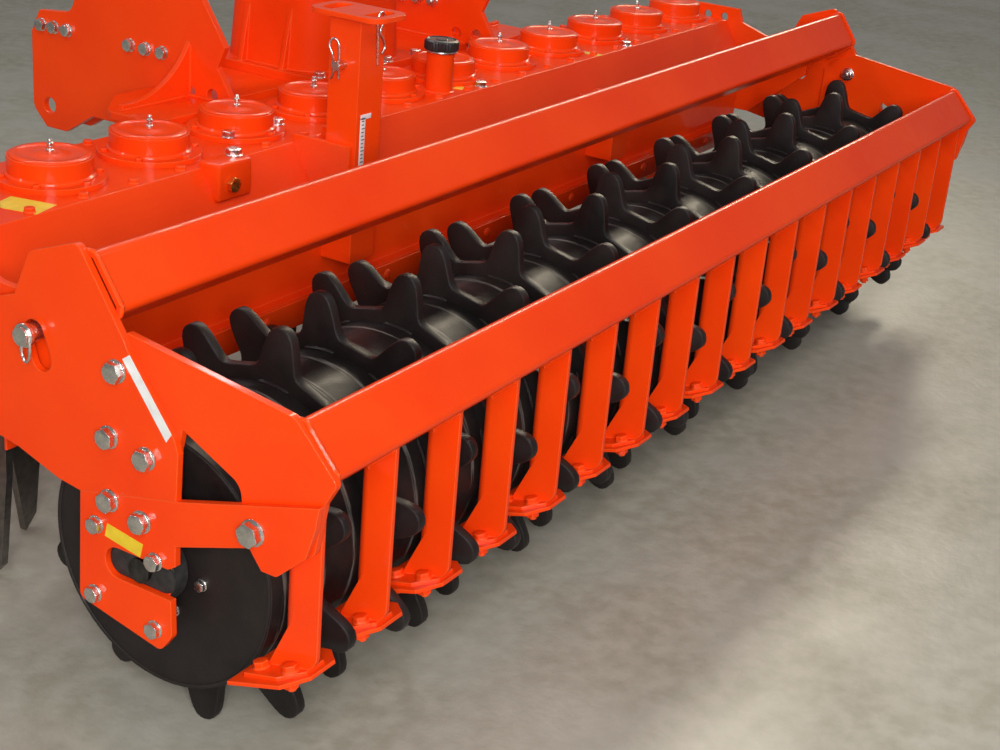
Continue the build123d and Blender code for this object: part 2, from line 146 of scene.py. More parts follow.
bpy.ops.mesh.primitive_plane_add(size=40)
floor = bpy.context.object
floor.name = "floor"
floor_finish, tree, principled = new_material("floor_concrete")
stain = noise(tree, 2.6, 6)
speck = blend(tree, noise(tree, 22, 8), (0.35, 0.325, 0.255), (0.43, 0.405, 0.33), 0.38, 0.64)
tree.links.new(mix(tree, ranged(tree, stain, 0.42, 0.66, 0, 0.6), speck, (0.48, 0.46, 0.40)),
               principled.inputs["Base Color"])
tree.links.new(ranged(tree, stain, 0.3, 0.7, 0.55, 0.4), principled.inputs["Roughness"])
tree.links.new(bump(tree, noise(tree, 60, 3), 0.0008), principled.inputs["Normal"])
floor.data.materials.append(floor_finish)

sun = bpy.data.objects.new("key", bpy.data.lights.new("key", "SUN"))
sun.data.energy = 0.62
sun.data.angle = radians(14)
sun.rotation_euler = Vector((-0.62, -0.42, 0.66)).to_track_quat("Z", "Y").to_euler()
scene.collection.objects.link(sun)


def rectangle_lamp(name, long, wide, watts):
    """A rectangular lamp that no camera sees."""
    lamp = bpy.data.objects.new(name, bpy.data.lights.new(name, "AREA"))
    lamp.data.shape = "RECTANGLE"
    lamp.data.size, lamp.data.size_y = long, wide
    lamp.data.energy = watts
    lamp.visible_camera = False
    scene.collection.objects.link(lamp)
    return lamp


lit_place = Vector((-0.3, -0.4, 0.4))
for name, place, long, wide, watts in (("strip_front", (0, 1.7, 3.0), 4.6, 0.12, 36),
                                       ("strip_rear", (-0.6, -2.2, 3.4), 4.6, 0.12, 20),
                                       ("wide_lamp", (-4.2, -3.0, 2.1), 1.4, 1.4, 150)):
    lamp = rectangle_lamp(name, long, wide, watts)
    lamp.location = place
    lamp.rotation_euler = (Vector(place) - lit_place).to_track_quat("Z", "Y").to_euler()
shine = rectangle_lamp("edge_shine", 4.2, 0.5, 170)
shine.data.color = (1, 0.88, 0.66)
shine.visible_diffuse = False
shine_place = Vector((3.65, 0.6, 3.0))
shine_target = Vector((0, -0.3, 0.7))
along = Vector((3.9, -0.6, -1.45)).normalized()
outward = (shine_place - shine_target).normalized()
outward = (outward - outward.dot(along) * along).normalized()
shine_turn = Matrix((along, outward.cross(along), outward)).transposed().to_4x4()
shine.matrix_world = Matrix.Translation(shine_place) @ shine_turn


# Sheet, tube and casing: pressed and welded steel under one coat of orange-red enamel.
# The edges are painted a lighter colour as a highlight, and the coat has a fine orange peel
# under its gloss.
def edge_light(tree, radius):
    """The rounded normal of an edge, and how much a place lies on one."""
    rounded = tree.nodes.new("ShaderNodeBevel")
    rounded.samples = 4
    rounded.inputs["Radius"].default_value = radius
    flat = tree.nodes.new("ShaderNodeNewGeometry")
    along = tree.nodes.new("ShaderNodeVectorMath")
    along.operation = "DOT_PRODUCT"
    tree.links.new(rounded.outputs["Normal"], along.inputs[0])
    tree.links.new(flat.outputs["Normal"], along.inputs[1])
    return rounded.outputs["Normal"], ranged(tree, along.outputs["Value"], 0.99, 0.86, 0, 1)


def enamel(name, light, deep, edge, rough, peel, coat=0.32, radius=0.0028):
    """Sprayed enamel: cloudy colour, a painted highlight on the edges, orange peel and a clear gloss."""
    material, tree, principled = new_material(name)
    normal, on_edge = edge_light(tree, radius)
    cloud = blend(tree, noise(tree, 3.1, 4), deep, light)
    # The edge colour is a painted highlight, mixed in where a place lies on an edge.
    tree.links.new(mix(tree, on_edge, cloud, edge), principled.inputs["Base Color"])
    tree.links.new(ranged(tree, noise(tree, 24, 4), 0.35, 0.65, rough * 0.85, rough * 1.2),
                   principled.inputs["Roughness"])
    wavy = bump(tree, noise(tree, 16, 1), 0.0012, 0.15, normal)
    tree.links.new(bump(tree, noise(tree, 420, 2), peel, 0.6, wavy), principled.inputs["Normal"])
    principled.inputs["Coat Weight"].default_value = coat
    principled.inputs["Coat Roughness"].default_value = 0.06
    principled.inputs["Specular IOR Level"].default_value = 0.05
    tree.links.new(normal, principled.inputs["Coat Normal"])
    return material


# Its edge colour is a painted highlight.
orange = enamel("orange_enamel", light=(0.93, 0.062, 0.004), deep=(0.86, 0.044, 0.003),
                edge=(0.96, 0.12, 0.025), rough=0.34, peel=0.0003)


def finish(material, *nodes):
    """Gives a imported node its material."""
    for node in nodes:
        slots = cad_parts[node].data.materials
        slots.clear()
        slots.append(material)


finish(orange, "trough", "trough_end_plates", "rotor_covers", "rotor_bearing_flanges", "filler_neck",
       "headstock_base", "headstock_feet", "headstock_side_plates", "lower_link_plates",
       "headstock_cross_tube", "top_link_bracket", "stem_guides", "deflector_hinges", "front_tube",
       "rear_beam", "roller_arms", "bearing_hangers", "roller_end_plates", "scraper_arms", "scraper_blades",
       "levelling_bar", "levelling_stems", "side_deflector_left", "side_deflector_right")


# Castings: the gearbox and the bearing housings, sand cast and painted with the same
# enamel. The skin of the sand still shows through it.
# Here too the edge colour is a painted highlight.
cast = enamel("cast_enamel", light=(0.90, 0.056, 0.004), deep=(0.80, 0.040, 0.003),
              edge=(0.95, 0.11, 0.025), rough=0.38, peel=0.001, coat=0.1, radius=0.005)
finish(cast, "gearbox", "roller_bearings")


# Pins: turned steel with a bright zinc plate, slightly cloudy, with fine turning marks.
# The bolts, washers and clips below have the same plate.
def plated(name, light, deep, rough):
    """Plated or bare metal with a cloudy sheen and its edges painted lighter as a highlight."""
    material, tree, principled = new_material(name)
    normal, on_edge = edge_light(tree, 0.0012)
    cloud = blend(tree, noise(tree, 55, 5), deep, light)
    # The edges are painted lighter, as a highlight.
    edge_highlight_colour = tuple(min(1, channel * 1.15) for channel in light)
    tree.links.new(mix(tree, on_edge, cloud, edge_highlight_colour), principled.inputs["Base Color"])
    tree.links.new(ranged(tree, noise(tree, 130, 3), 0.3, 0.7, rough * 0.75, rough * 1.3),
                   principled.inputs["Roughness"])
    tree.links.new(bump(tree, noise(tree, 700, 2), 0.0003, 0.5, normal), principled.inputs["Normal"])
    principled.inputs["Metallic"].default_value = 1
    return material


zinc = plated("zinc_plate", (0.80, 0.80, 0.77), (0.58, 0.58, 0.56), 0.26)
finish(zinc, "arm_pivot_pins", "depth_pins", "stem_setting_pin")


# End plate bolts: ten plated hexagon bolts a side clamp the arm, the hanger and the end
# plate together. Their nuts are on the inside, on the end plate or on the hanger.
roller_behind = 446


def at(x, fore, up):
    """A place in metres, from millimetres across, ahead of the roller's axis and above the floor."""
    return Vector((x, fore - roller_behind, up)) / 1000


def turned(mesh, profile, place, axis, count=24):
    """A profile of (radius, height) in millimetres, turned round an axis. Either may follow the angle."""
    base = Matrix.Translation(place) @ Vector(axis).to_track_quat("Z", "Y").to_matrix().to_4x4()
    rings = []
    for radius, height in profile:
        if radius == 0:
            rings.append([mesh.verts.new(base @ Vector((0, 0, height / 1000)))])
            continue
        ring = []
        for step in range(count):
            angle = 2 * pi * step / count
            reach = radius(angle) if callable(radius) else radius
            rise = height(angle) if callable(height) else height
            spot = Vector((reach * cos(angle), reach * sin(angle), rise)) / 1000
            ring.append(mesh.verts.new(base @ spot))
        rings.append(ring)
    for low, high in zip(rings, rings[1:]):
        for step in range(count):
            after = (step + 1) % count
            loop = [low[step % len(low)], low[after % len(low)]]
            loop += [high[after % len(high)], high[step % len(high)]]
            loop = list(dict.fromkeys(loop))
            if len(loop) > 2:
                mesh.faces.new(loop)


def hexagon(mesh, place, axis, across, height, spin, count=24, hollow=0):
    """A hexagon head or nut with its corners chamfered."""
    flat = across / 2

    def reach(angle):
        return flat / cos((angle - spin + pi / 6) % (pi / 3) - pi / 6)

    def shoulder(angle):
        return height - (reach(angle) - flat * 0.95) * 0.55

    profile = [(0, 0), (reach, 0), (reach, shoulder), (flat * 0.95, height)]
    if hollow:
        profile += [(hollow, height), (hollow * 0.9, height - 1), (0, height - 1)]
    else:
        profile += [(flat * 0.3, height - across * 0.01), (0, height - across * 0.02)]
    turned(mesh, profile, place, axis, count)


def bolt(mesh, place, axis, across, washer=True, nut=False):
    """A hexagon bolt's head on its washer, or the nut on its end with the thread standing out."""
    axis = Vector(axis).normalized()
    spin = random.uniform(0, pi / 3)
    rise = 0
    if washer:
        rise = across * 0.1
        outer = across * 0.62
        turned(mesh, [(0, 0), (outer, 0), (outer, rise * 0.8), (outer - rise * 0.3, rise), (0, rise)],
               place, axis, 24)
    seat = place + axis * rise / 1000
    if not nut:
        hexagon(mesh, seat, axis, across, across * 0.42, spin)
        return
    stud = across / 3
    hexagon(mesh, seat, axis, across, across * 0.53, spin, hollow=stud)
    tip = across * 0.53 + stud * 0.7
    thread = [(0, across * 0.4), (stud * 0.9, across * 0.4)]
    level = across * 0.5
    while level < tip - 2:
        thread += [(stud, level), (stud * 0.88, level + 1)]
        level += 2
    turned(mesh, thread + [(stud * 0.9, tip - 1), (stud * 0.75, tip), (0, tip)], seat, axis, 16)


def piece(name, mesh, material, body, angle=34):
    """Makes a named piece from a mesh and sets it on its body."""
    bmesh.ops.recalc_face_normals(mesh, faces=mesh.faces)
    data = bpy.data.meshes.new(name)
    mesh.to_mesh(data)
    mesh.free()
    data.polygons.foreach_set("use_smooth", [True] * len(data.polygons))
    data.set_sharp_from_angle(angle=radians(angle))
    data.materials.append(material)
    made = bpy.data.objects.new(name, data)
    scene.collection.objects.link(made)
    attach(made, body)
    return made


arm_face, hanger_inside, end_plate_inside = 1512, 1500, 1488
end_plate_foot, lowest_nut = 430, 380
plate_bolts = [(39, 635, 30), (55, 525, 30), (-18, 513, 30), (55, 420, 30), (-9, 406, 30),
               (83, 370, 24), (-219, 462, 34), (-35, 348, 24), (88, 248, 24), (-35, 231, 24)]
heads = bmesh.new()
nuts = bmesh.new()
for hand in (-1, 1):
    for fore, up, across in plate_bolts:
        bolt(heads, at(hand * arm_face, fore, up), (hand, 0, 0), across)
        if up > lowest_nut:
            inside = end_plate_inside if up > end_plate_foot else hanger_inside
            bolt(nuts, at(hand * inside, fore, up), (-hand, 0, 0), across, nut=True)
piece("end_plate_bolts", heads, zinc, "roller_frame")
piece("end_plate_nuts", nuts, zinc, "roller_frame")


# Arm pivots: a plated bolt with its washer holds the cap of each pivot pin, on which an
# arm of the roller frame swings.
arm_pivot = (450, 540)
pivot_cap_face = 1526
pivot_bolts = bmesh.new()
for hand in (-1, 1):
    bolt(pivot_bolts, at(hand * pivot_cap_face, *arm_pivot), (hand, 0, 0), 28)
piece("pivot_bolts", pivot_bolts, zinc, "harrow")


# Depth pins: plain plated pins through the arms' slots. Each has a collar with a spring
# wire ring through it that keeps it in its hole.
def bead(mesh, points, leg, step=5.5, closed=False):
    """A rippled weld bead along a run of places, its leg and step in millimetres."""
    path = [points[0]]
    spots = points + [points[0]] if closed else points
    for start, end in zip(spots, spots[1:]):
        parts = max(1, round((end - start).length * 1000 / step))
        path += [start.lerp(end, (k + 1) / parts) for k in range(parts)]
    if closed:
        path.pop()
    rings = []
    for k, place in enumerate(path):
        before = path[k - 1] if k or closed else place
        after = path[(k + 1) % len(path)] if k + 1 < len(path) or closed else place
        along = (after - before).normalized()
        across_one = along.cross(Vector((0.31, 0.55, 0.77))).normalized()
        across_two = along.cross(across_one)
        reach = leg * (0.9 + 0.22 * (k % 2) + random.uniform(-0.06, 0.06)) / 1000
        if not closed and k in (0, len(path) - 1):
            reach *= 0.55
        rings.append([mesh.verts.new(place + reach * (cos(a) * across_one + sin(a) * across_two))
                      for a in [2 * pi * n / 6 for n in range(6)]])
    pairs = list(zip(rings, rings[1:])) + ([(rings[-1], rings[0])] if closed else [])
    for low, high in pairs:
        for n in range(6):
            m = (n + 1) % 6
            mesh.faces.new((low[n], low[m], high[m], high[n]))
    if not closed:
        mesh.faces.new(rings[0][::-1])
        mesh.faces.new(rings[-1])


depth_pin = (204.99, 650.1)
collar_middle = 1530
collar_profile = [(15.2, -4), (18.5, -4), (19, -3), (19, 3), (18.5, 4), (15.2, 4)]
clips = bmesh.new()
for hand in (-1, 1):
    middle = at(hand * collar_middle, *depth_pin)
    turned(clips, collar_profile, middle, (hand, 0, 0), 28)
    ring = [middle + Vector((hand * 4.5, 9 * cos(a) - 6, 24 * sin(a) - 16)) / 1000
            for a in [2 * pi * n / 28 for n in range(28)]]
    bead(clips, ring, leg=2.4, step=4, closed=True)
piece("depth_pin_clips", clips, zinc, "harrow")


# Roller bearings: the housings are bolted behind the hangers. A moulded black guard goes
# round each, with a lip seal at the drum and a flap behind the hanger's slot.
seal, tree, principled = new_material("seal_rubber")
tree.links.new(blend(tree, noise(tree, 60, 3), (0.012, 0.012, 0.012), (0.028, 0.027, 0.026)),
               principled.inputs["Base Color"])
tree.links.new(bump(tree, noise(tree, 260, 2), 0.0004), principled.inputs["Normal"])
principled.inputs["Roughness"].default_value = 0.6
roller_height = 317.72
housing_face = 1470
guard_profile = [(20.6, 4), (24, 5), (46, 5), (50, 3), (50, 1), (61.5, 1), (62.5, 0), (62.5, -29),
                 (61.5, -29.8), (60.2, -29.8)]
slot_rear, slot_front, slot_height, slot_radius = -44, 40, 317, 23.5
half_circle = [pi * n / 10 for n in range(11)]
flap_outline = [(slot_rear + slot_radius * cos(pi / 2 + a), slot_height + slot_radius * sin(pi / 2 + a))
                for a in half_circle]
flap_outline += [(slot_front + slot_radius * cos(a - pi / 2), slot_height + slot_radius * sin(a - pi / 2))
                 for a in half_circle]
seals = bmesh.new()
for hand in (-1, 1):
    turned(seals, guard_profile, at(hand * housing_face, 0, roller_height), (-hand, 0, 0), 40)
    back, front = [[seals.verts.new(at(hand * face, *spot)) for spot in flap_outline]
                   for face in (hanger_inside + 0.2, hanger_inside + 3)]
    seals.faces.new(back)
    seals.faces.new(front)
    for n in range(len(flap_outline)):
        m = (n + 1) % len(flap_outline)
        seals.faces.new((back[n], back[m], front[m], front[n]))
piece("bearing_guards", seals, seal, "roller_frame")


# Packer roller: a rolled tube closed by two end discs, in satin black enamel. Beside the
# tooth rings the soil has rubbed faint bright arcs round it.
ring_pitch = 173
rub_from_ring, rub_reach, rub_core = 47.5, 6.5, 3.5


def black_enamel(name, rubbed):
    """Satin black enamel, dusty, grey where it is rubbed, its edges lighter from wear and a painted
    highlight.
    """
    material, tree, principled = new_material(name)
    normal, on_edge = edge_light(tree, 0.003)
    cloud = blend(tree, noise(tree, 7, 5), (0.006, 0.0045, 0.0045), (0.018, 0.013, 0.012))
    # The lighter edge colour is partly wear and partly a painted highlight.
    worn_and_edge_highlight = mix(tree, on_edge, cloud, (0.030, 0.024, 0.022))
    rough = ranged(tree, noise(tree, 30, 4), 0.3, 0.7, 0.42, 0.58)
    if rubbed:
        place = tree.nodes.new("ShaderNodeTexCoord")
        split = tree.nodes.new("ShaderNodeSeparateXYZ")
        tree.links.new(place.outputs["Object"], split.inputs["Vector"])
        turn = tree.nodes.new("ShaderNodeMath")
        turn.operation = "ARCTAN2"
        fore_of = tree.nodes.new("ShaderNodeMath")
        fore_of.inputs[1].default_value = roller_behind / 1000
        up_of = tree.nodes.new("ShaderNodeMath")
        up_of.inputs[1].default_value = -roller_height / 1000
        tree.links.new(split.outputs["Y"], fore_of.inputs[0])
        tree.links.new(split.outputs["Z"], up_of.inputs[0])
        tree.links.new(fore_of.outputs["Value"], turn.inputs[0])
        tree.links.new(up_of.outputs["Value"], turn.inputs[1])
        joined = tree.nodes.new("ShaderNodeCombineXYZ")
        tree.links.new(split.outputs["X"], joined.inputs["X"])
        tree.links.new(turn.outputs["Value"], joined.inputs["Y"])
        squeezed = tree.nodes.new("ShaderNodeMapping")
        squeezed.inputs["Scale"].default_value = (150, 2.6, 1)
        tree.links.new(joined.outputs["Vector"], squeezed.inputs["Vector"])
        streak = tree.nodes.new("ShaderNodeTexNoise")
        streak.inputs["Scale"].default_value = 1
        streak.inputs["Detail"].default_value = 3
        tree.links.new(squeezed.outputs["Vector"], streak.inputs["Vector"])
        from_ring = tree.nodes.new("ShaderNodeMath")
        from_ring.operation = "PINGPONG"
        from_ring.inputs[1].default_value = ring_pitch / 2000
        tree.links.new(split.outputs["X"], from_ring.inputs[0])
        off_arc = tree.nodes.new("ShaderNodeMath")
        off_arc.operation = "SUBTRACT"
        off_arc.inputs[1].default_value = rub_from_ring / 1000
        tree.links.new(from_ring.outputs["Value"], off_arc.inputs[0])
        away = tree.nodes.new("ShaderNodeMath")
        away.operation = "ABSOLUTE"
        tree.links.new(off_arc.outputs["Value"], away.inputs[0])
        band = ranged(tree, away.outputs["Value"], rub_reach / 1000, rub_core / 1000, 0, 1)
        marks = tree.nodes.new("ShaderNodeMath")
        marks.operation = "MULTIPLY"
        tree.links.new(band, marks.inputs[0])
        tree.links.new(ranged(tree, streak.outputs["Fac"], 0.44, 0.60, 0, 1), marks.inputs[1])
        worn_and_edge_highlight = mix(tree, marks.outputs["Value"], worn_and_edge_highlight, (0.16, 0.145, 0.13))
    tree.links.new(worn_and_edge_highlight, principled.inputs["Base Color"])
    tree.links.new(rough, principled.inputs["Roughness"])
    tree.links.new(bump(tree, noise(tree, 300, 2), 0.0005, 0.6, normal), principled.inputs["Normal"])
    principled.inputs["Coat Weight"].default_value = 0.06
    principled.inputs["Coat Roughness"].default_value = 0.2
    principled.inputs["Specular IOR Level"].default_value = 0.3
    return material


drum_black = black_enamel("roller_enamel", rubbed=True)
tooth_black = black_enamel("tooth_enamel", rubbed=False)
finish(drum_black, "roller_drum")
dark_steel = plated("oiled_steel", (0.10, 0.095, 0.09), (0.05, 0.048, 0.046), 0.4)
finish(dark_steel, "roller_stub_shafts")


def round_roller(x, radius, angle):
    """A place round the roller's axis."""
    return at(x, radius * cos(angle), roller_height + radius * sin(angle))


disc_face = 1462
disc_bolt_circle, disc_weld_radius = 84, 212
disc_bolts = bmesh.new()
roller_welds = bmesh.new()
for hand in (-1, 1):
    for degrees_round in range(-110, 250, 60):
        bolt(disc_bolts, round_roller(hand * disc_face, disc_bolt_circle, radians(degrees_round)),
             (hand, 0, 0), 17)
    circle = [round_roller(hand * (disc_face - 1), disc_weld_radius, 2 * pi * n / 96) for n in range(96)]
    bead(roller_welds, circle, leg=3.2, step=7, closed=True)
piece("roller_disc_bolts", disc_bolts, zinc, "roller")


# Tooth rings: flame-cut from thick plate with ten teeth each, their tips and edges
# rounded by grinding, and each ring turned against the next.
ring_count, teeth_per_ring = 17, 10
tooth_turn = 360 / teeth_per_ring
first_tooth = (48, 59)
ring_half, ring_foot, tooth_tip = 10, 216, 318
half_tooth = [(-18, 240.5), (-13, 241), (-10, 244), (-8.6, 251), (-7.4, 264), (-6.3, 280), (-5.3, 294),
              (-4.3, 304.5), (-3.1, 312.5), (-1.6, 317)]
whole_tooth = half_tooth + [(0, tooth_tip)] + [(-angle, radius) for angle, radius in half_tooth[:0:-1]]
ring_edge = [(-10, 3), (-9.1, 0.9), (-7, 0), (7, 0), (9.1, 0.9), (10, 3)]
rings = bmesh.new()
for k in range(ring_count):
    middle = (k - (ring_count - 1) / 2) * ring_pitch
    outline = []
    for tooth in range(teeth_per_ring):
        centre = first_tooth[k % 2] + tooth_turn * tooth
        for angle, radius in whole_tooth:
            turn_to = radians(centre + angle)
            outline.append(Vector((radius * cos(turn_to), radius * sin(turn_to))))
    count = len(outline)
    inward = []
    for n in range(count):
        along = (outline[(n + 1) % count] - outline[n - 1]).normalized()
        inward.append(Vector((-along.y, along.x)))
    foot = [ring_foot * spot / spot.length for spot in outline]
    rims = [(-ring_half, foot)]
    rims += [(across, [spot + inset * to for spot, to in zip(outline, inward)])
             for across, inset in ring_edge]
    rims.append((ring_half, foot))
    loops = [[rings.verts.new(at(middle + across, spot.x, roller_height + spot.y)) for spot in rim]
             for across, rim in rims]
    for low, high in zip(loops, loops[1:]):
        for n in range(count):
            rings.faces.new((low[n], low[(n + 1) % count], high[(n + 1) % count], high[n]))
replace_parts(piece("toothed_rings", rings, tooth_black, "roller"), "roller_tooth_rings")


# Ring welds: every ring is stitched to the drum by a short bead on both sides under each
# tooth, and painted over.
ring_weld_off, ring_weld_radius = 11.5, 218.5
for k in range(ring_count):
    middle = (k - (ring_count - 1) / 2) * ring_pitch
    for side in (-1, 1):
        for tooth in range(teeth_per_ring):
            x, centre = middle + side * ring_weld_off, first_tooth[k % 2] + tooth_turn * tooth
            arc = [round_roller(x, ring_weld_radius, radians(centre + sweep)) for sweep in (-8, -4, 0, 4, 8)]
            bead(roller_welds, arc, leg=4, step=9)
piece("roller_welds", roller_welds, tooth_black, "roller")


# Scraper blades: each broad blade of steel plate is clamped under the foot of its arm by
# two hexagon bolts, with the nuts below, all painted over.
blade_count = 18
blade_tip = (-201, 222)
blade_slope = radians(15)
blade_normal = Vector((0, sin(blade_slope), cos(blade_slope)))
blade_bolt_left = 27


def on_blade(fore, lift):
    """The height of the blade's middle at a fore place, plus a lift square to it."""
    return blade_tip[1] + (blade_tip[0] - fore) * tan(blade_slope) + lift / cos(blade_slope)


blade_bolts = bmesh.new()
for k in range(blade_count):
    x = (k - (blade_count - 1) / 2) * ring_pitch - blade_bolt_left
    for fore in (-230, -283):
        bolt(blade_bolts, at(x, fore, on_blade(fore, 6)), blade_normal, 22)
        bolt(blade_bolts, at(x, fore, on_blade(fore, -6)), -blade_normal, 22, nut=True)
piece("scraper_bolts", blade_bolts, orange, "roller_frame")


# Scraper welds: each folded arm is welded to the two lower faces of the rear beam and to
# its own foot, and painted with them.
rear_beam_middle, rear_beam_lean = (-275, 580), 48
tube_half_diagonal = 100 / sqrt(2)


def beam_corner(turn_by):
    """A corner of the square beam that stands on edge."""
    angle = radians(rear_beam_lean + turn_by)
    return (rear_beam_middle[0] + tube_half_diagonal * cos(angle),
            rear_beam_middle[1] + tube_half_diagonal * sin(angle))


def on_line(start, end, fore):
    """The height at a fore place on the line from start to end."""
    return start[1] + (end[1] - start[1]) * (fore - start[0]) / (end[0] - start[0])


beam_low, beam_back, beam_fore = beam_corner(225), beam_corner(135), beam_corner(-45)
arm_half, arm_wall = 15.5, 8
arm_back, arm_fold, arm_front = -318, -275, -255
foot_back, foot_front, foot_inner_front = -294, -262, -270
foot_top = 6.5
arm_welds = bmesh.new()
for k in range(blade_count):
    middle = (k - (blade_count - 1) / 2) * ring_pitch
    left, right, inner = middle - arm_half, middle + arm_half, middle - arm_half + arm_wall
    bead(arm_welds, [at(left, arm_back, on_line(beam_low, beam_back, arm_back)), at(left, *beam_low),
                     at(left, arm_fold, on_line(beam_low, beam_fore, arm_fold))], leg=3.4)
    front_height = on_line(beam_low, beam_fore, arm_front)
    bead(arm_welds, [at(middle + 2, arm_front, front_height), at(right, arm_front, front_height)], leg=3.4)
    for x, front in ((left, foot_front), (inner, foot_inner_front)):
        bead(arm_welds, [at(x, fore, on_blade(fore, foot_top)) for fore in (foot_back, front)], leg=3.2)
piece("scraper_welds", arm_welds, orange, "roller_frame")


# Frame welds: the front tube and the rear beam are welded all round where they meet the
# side plates, and their corners are a little rounded.
front_tube_middle, front_tube_lean = (107, 734), 54.5
frame_welds = bmesh.new()
for hand in (-1, 1):
    for (fore, up), lean, face in ((front_tube_middle, front_tube_lean, hanger_inside),
                                   (rear_beam_middle, rear_beam_lean, end_plate_inside)):
        square = []
        for quarter in range(4):
            for spread in (-6, 6):
                angle = radians(lean + 45 + 90 * quarter + spread)
                reach = (tube_half_diagonal - 3) / cos(radians(spread)) * 0.985
                square.append(at(hand * (face - 1), fore + reach * cos(angle), up + reach * sin(angle)))
        bead(frame_welds, square, leg=4.2, step=6, closed=True)
piece("frame_welds", frame_welds, orange, "roller_frame")


# Trough lid: screwed down along both edges with painted bolts. Five larger bolts, on the
# lid, the side block and the cover flanges, were renewed and are still bright.
lid_top, flange_top, side_block_top = 727, 737, 740
lid_rear_row, lid_front_row, lid_bolt_pitch = 453, 684, 122
gearbox_half, headstock_inner, headstock_outer = 232, 500, 765
lid_bolts = bmesh.new()
for n in range(-12, 12):
    x = (n + 0.5) * lid_bolt_pitch
    bolt(lid_bolts, at(x, lid_rear_row, lid_top), (0, 0, 1), 17)
    if abs(x) > gearbox_half and not headstock_inner < abs(x) < headstock_outer:
        bolt(lid_bolts, at(x, lid_front_row, lid_top), (0, 0, 1), 17)
bright_bolts = bmesh.new()
for x, fore, up, across in ((-800, 424, side_block_top, 27), (-700.3, 521.5, flange_top, 24),
                            (-549.7, 521.5, flange_top, 24), (118, lid_rear_row, lid_top, 24),
                            (854, lid_rear_row, lid_top, 24)):
    bolt(bright_bolts, at(x, fore, up), (0, 0, 1), across)
piece("lid_bolts", lid_bolts, orange, "harrow")


# Rotor covers: turned caps over the upper bearings, each with six painted bolts round
# its flange, a rolled rim, and a plated grease nipple in the middle.
rotor_count, rotor_pitch, rotor_fore = 12, 250, 565
rotor_places = [(k - (rotor_count - 1) / 2) * rotor_pitch for k in range(rotor_count)]
hub_top, nipple_seat = 772.5, 778
flange_bolt_circle = 87
cap_profile = [(0, 0), (70, 0), (71, 2), (68, 4), (60, 4.5), (56, 2), (30, 2.5), (24, 5), (14, 6), (0, 6)]
rim_profile = [(75.5, -2), (80, 0), (79, 4), (75.2, 7)]
nipple_profile = [(0, 0), (7, 0), (7, 4), (4.5, 5), (4.5, 9), (6, 11), (6, 15), (3.6, 18), (4.4, 20),
                  (3, 23), (0, 23.5)]
cover_bolts = bmesh.new()
cover_caps = bmesh.new()
for x in rotor_places:
    for n in range(6):
        angle = radians(60 * n + 30)
        across, along = flange_bolt_circle * cos(angle), flange_bolt_circle * sin(angle)
        bolt(cover_bolts, at(x + across, rotor_fore + along, flange_top), (0, 0, 1), 13, washer=False)
    turned(cover_caps, cap_profile, at(x, rotor_fore, hub_top), (0, 0, 1), 40)
    turned(cover_caps, rim_profile, at(x, rotor_fore, flange_top), (0, 0, 1), 40)
    turned(bright_bolts, nipple_profile, at(x, rotor_fore, nipple_seat), (0, 0, 1), 16)
piece("cover_bolts", cover_bolts, orange, "harrow")
piece("cover_caps", cover_caps, orange, "harrow")
piece("bright_lid_bolts", bright_bolts, zinc, "harrow")


# Side block: a small drilled block on the trough's sloping rear edge, painted with it and
# closed by a brass plug.
brass = plated("brass_plug", light=(0.85, 0.55, 0.12), deep=(0.70, 0.42, 0.08), rough=0.3)


def block(mesh, low, high, rounding):
    """A block between two corners, with its edges rounded."""
    made = bmesh.ops.create_cube(mesh, size=1)["verts"]
    for vert in made:
        vert.co = Vector([a + (b - a) * (c + 0.5) for a, b, c in zip(low, high, vert.co)])
    edges = list({edge for vert in made for edge in vert.link_edges})
    bmesh.ops.bevel(mesh, geom=edges, offset=rounding / 1000, segments=3, profile=0.5, affect="EDGES")


side_block_rear = 394
boss = bmesh.new()
block(boss, at(-876, side_block_rear, 668), at(-782, 446, side_block_top), 6)
piece("side_block", boss, orange, "harrow")
plug = bmesh.new()
hexagon(plug, at(-841, side_block_rear, 699), (0, -1, 0), across=27, height=12, spin=0.2)
piece("side_block_plug", plug, brass, "harrow")


# Headstock: plated bolts join each side plate to its cross members, and every plate is
# welded along the base and round the cross tube.
side_plate_outside, side_plate_inside = 522, 507
side_bolt_height = 819
cross_tube_place, cross_tube_weld = (935, 1050), 46
foot_top_height, foot_middle = 743, 777
headstock_bolts = bmesh.new()
for hand in (-1, 1):
    for fore in (854, 901, 947, 1130, 1170, 1208):
        bolt(headstock_bolts, at(hand * side_plate_outside, fore, side_bolt_height), (hand, 0, 0), 24)
        bolt(headstock_bolts, at(hand * side_plate_inside, fore, side_bolt_height), (-hand, 0, 0), 24,
             nut=True)
piece("headstock_bolts", headstock_bolts, zinc, "harrow")
headstock_welds = bmesh.new()
for hand in (-1, 1):
    circle = [at(hand * (side_plate_inside - 1.5), cross_tube_place[0] + cross_tube_weld * cos(a),
                 cross_tube_place[1] + cross_tube_weld * sin(a))
              for a in [2 * pi * n / 48 for n in range(48)]]
    bead(headstock_welds, circle, leg=4, step=6, closed=True)
    inside, outside = hand * (side_plate_inside - 1), hand * (side_plate_outside + 1)
    bead(headstock_welds, [at(inside, fore, lid_top + 1) for fore in (750, 1056)], leg=4.4)
    bead(headstock_welds, [at(outside, fore, foot_top_height) for fore in (680, 868)], leg=4.4)
    bead(headstock_welds, [at(hand * across, foot_middle, foot_top_height) for across in (540, 720)], leg=3.6)
    bead(headstock_welds, [at(outside, foot_middle, up) for up in (750, 850)], leg=3.6)
piece("headstock_welds", headstock_welds, orange, "harrow")


